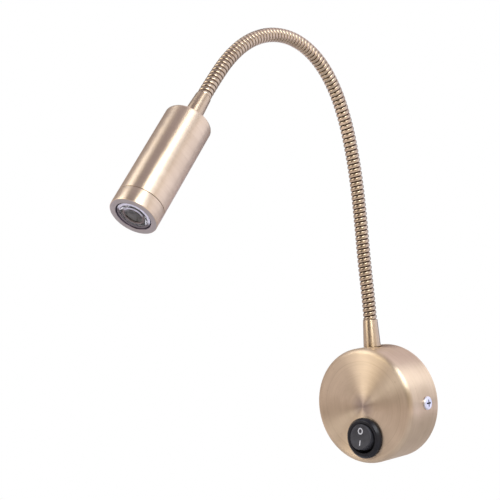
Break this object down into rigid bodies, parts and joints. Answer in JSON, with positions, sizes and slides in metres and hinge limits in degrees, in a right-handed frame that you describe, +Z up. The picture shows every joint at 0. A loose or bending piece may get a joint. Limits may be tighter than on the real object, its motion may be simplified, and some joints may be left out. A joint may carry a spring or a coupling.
{
  "type": "wall reading lamp",
  "caption": "Bedside wall reading lamp: round wall base with a rocker switch, ribbed flexible neck that stays where it is bent, and a slim LED spot head.",
  "frame": {"origin": "the wall plane behind the base, on the base's centre", "axes": "+Y into the wall, so the lamp stands out towards -Y; +Z up; X = 0 is the plane that the neck curves in"},
  "size_m": [0.0704, 0.2171, 0.2536],
  "materials": {
    "cover_brass": "antique brass plate, spun brushed front and brushed side, satin lacquer",
    "head_brass": "antique brass finish, brushed around the axis, satin lacquer",
    "neck_brass": "antique brass plated winding, bright crests and dark grooves",
    "ferrule_brass": "antique brass, brushed",
    "plate_steel": "zinc plated pressed steel",
    "screw_steel": "bright nickel plated",
    "switch_black": "black moulded, satin flange and finely textured rocker",
    "rubber_black": "soft moulded",
    "white_plastic": "white moulded",
    "board_green": "solder resist",
    "component_black": "moulded and wound components",
    "contact_brass": "stamped, plain",
    "lead_white": "soft insulation",
    "heat_sink_alloy": "turned, plain",
    "lens_clear": "clear acrylic, polished",
    "led_yellow": "phosphor under a clear dome"
  },
  "bodies": {
    "base": {"cover": "cover_brass", "wall_plate": "plate_steel", "cover_screws": "screw_steel", "cable_grommet": "rubber_black", "driver_pad": "rubber_black", "driver_case": "white_plastic", "driver_board": "board_green", "driver_parts": "component_black", "terminal_block": "white_plastic", "terminal_screws": "screw_steel", "earth_tag": "contact_brass", "earth_screw": "screw_steel", "supply_leads": "lead_white", "switch_body": "switch_black", "switch_terminals": "contact_brass", "lower_ferrule": "ferrule_brass", "base_nut": "screw_steel", "base_washer": "screw_steel", "neck_lead": "lead_white", "neck_link_01": "neck_brass"},
    "neck_01": {"neck_link_02": "neck_brass"},
    "neck_02": {"neck_link_03": "neck_brass"},
    "neck_03": {"neck_link_04": "neck_brass"},
    "neck_04": {"neck_link_05": "neck_brass"},
    "neck_05": {"neck_link_06": "neck_brass"},
    "neck_06": {"neck_link_07": "neck_brass"},
    "neck_07": {"neck_link_08": "neck_brass"},
    "neck_08": {"neck_link_09": "neck_brass"},
    "neck_09": {"neck_link_10": "neck_brass"},
    "neck_10": {"neck_link_11": "neck_brass"},
    "neck_11": {"neck_link_12": "neck_brass"},
    "head": {"neck_link_13": "neck_brass", "upper_ferrule": "ferrule_brass", "head_nut": "screw_steel", "head_washer": "screw_steel", "head_body": "head_brass", "bezel_ring": "head_brass", "heat_sink": "heat_sink_alloy", "led_board": "white_plastic", "led_chip": "led_yellow", "board_screws": "screw_steel", "led_leads": "lead_white", "lens": "lens_clear", "lens_holder": "white_plastic", "lens_gasket": "rubber_black"},
    "rocker": {"switch_rocker": "switch_black", "switch_plunger": "contact_brass", "switch_spring": "screw_steel"},
    "contact": {"switch_contact": "contact_brass"}
  },
  "joints": [
    {"name": "lower_bend", "type": "hinge", "parent": "base", "child": "neck_01", "pos_m": [0, -0.01475, 0.07142], "axis": [1, 0, 0], "range_deg": [-5, 12], "deforming": ["neck_lead"]},
    {"name": "lower_sway", "type": "hinge", "parent": "neck_01", "child": "neck_02", "pos_m": [0, -0.01568, 0.09284], "axis": [0, 0.9998, 0.0175], "range_deg": [-15, 15], "deforming": ["neck_lead"]},
    {"name": "lower_bend_follow", "type": "hinge", "parent": "neck_02", "child": "neck_03", "pos_m": [0, -0.01624, 0.11427], "axis": [1, 0, 0], "range_deg": [-5, 12], "deforming": ["neck_lead"]},
    {"name": "lower_sway_follow", "type": "hinge", "parent": "neck_03", "child": "neck_04", "pos_m": [0, -0.01774, 0.13566], "axis": [0, 0.9945, 0.1045], "range_deg": [-15, 15], "deforming": ["neck_lead"]},
    {"name": "middle_bend", "type": "hinge", "parent": "neck_04", "child": "neck_05", "pos_m": [0, -0.02109, 0.15682], "axis": [1, 0, 0], "range_deg": [-18, 10], "deforming": ["neck_lead"]},
    {"name": "middle_sway", "type": "hinge", "parent": "neck_05", "child": "neck_06", "pos_m": [0, -0.02735, 0.1773], "axis": [0, 0.9272, 0.3746], "range_deg": [-15, 15], "deforming": ["neck_lead"]},
    {"name": "middle_bend_follow", "type": "hinge", "parent": "neck_06", "child": "neck_07", "pos_m": [0, -0.03835, 0.1956], "axis": [1, 0, 0], "range_deg": [-18, 10], "deforming": ["neck_lead"]},
    {"name": "middle_sway_follow", "type": "hinge", "parent": "neck_07", "child": "neck_08", "pos_m": [0, -0.05491, 0.20901], "axis": [0, 0.4695, 0.8829], "range_deg": [-15, 15], "deforming": ["neck_lead"]},
    {"name": "upper_bend", "type": "hinge", "parent": "neck_08", "child": "neck_09", "pos_m": [0, -0.07529, 0.21524], "axis": [1, 0, 0], "range_deg": [-18, 12], "deforming": ["neck_lead"]},
    {"name": "upper_sway", "type": "hinge", "parent": "neck_09", "child": "neck_10", "pos_m": [0, -0.09659, 0.21394], "axis": [0, -0.225, 0.9744], "range_deg": [-15, 15], "deforming": ["neck_lead"]},
    {"name": "upper_bend_follow", "type": "hinge", "parent": "neck_10", "child": "neck_11", "pos_m": [0, -0.11646, 0.20611], "axis": [1, 0, 0], "range_deg": [-18, 12], "deforming": ["neck_lead"]},
    {"name": "upper_sway_follow", "type": "hinge", "parent": "neck_11", "child": "head", "pos_m": [0, -0.13366, 0.19338], "axis": [0, -0.682, 0.7314], "range_deg": [-15, 15], "deforming": ["neck_lead"]},
    {"name": "rocker_tilt", "type": "hinge", "parent": "base", "child": "rocker", "pos_m": [0, -0.0267, -0.01867], "axis": [1, 0, 0], "range_deg": [0, 22]},
    {"name": "contact_tilt", "type": "hinge", "parent": "base", "child": "contact", "pos_m": [0, -0.01835, -0.01867], "axis": [1, 0, 0], "range_deg": [-8, 0]}
  ],
  "couplings": [
    {"joint": "lower_bend_follow", "follows": "lower_bend", "ratio": 1},
    {"joint": "lower_sway_follow", "follows": "lower_sway", "ratio": 1},
    {"joint": "middle_bend_follow", "follows": "middle_bend", "ratio": 1},
    {"joint": "middle_sway_follow", "follows": "middle_sway", "ratio": 1},
    {"joint": "upper_bend_follow", "follows": "upper_bend", "ratio": 1},
    {"joint": "upper_sway_follow", "follows": "upper_sway", "ratio": 1},
    {"joint": "contact_tilt", "follows": "rocker_tilt", "ratio": -0.36364}
  ]
}
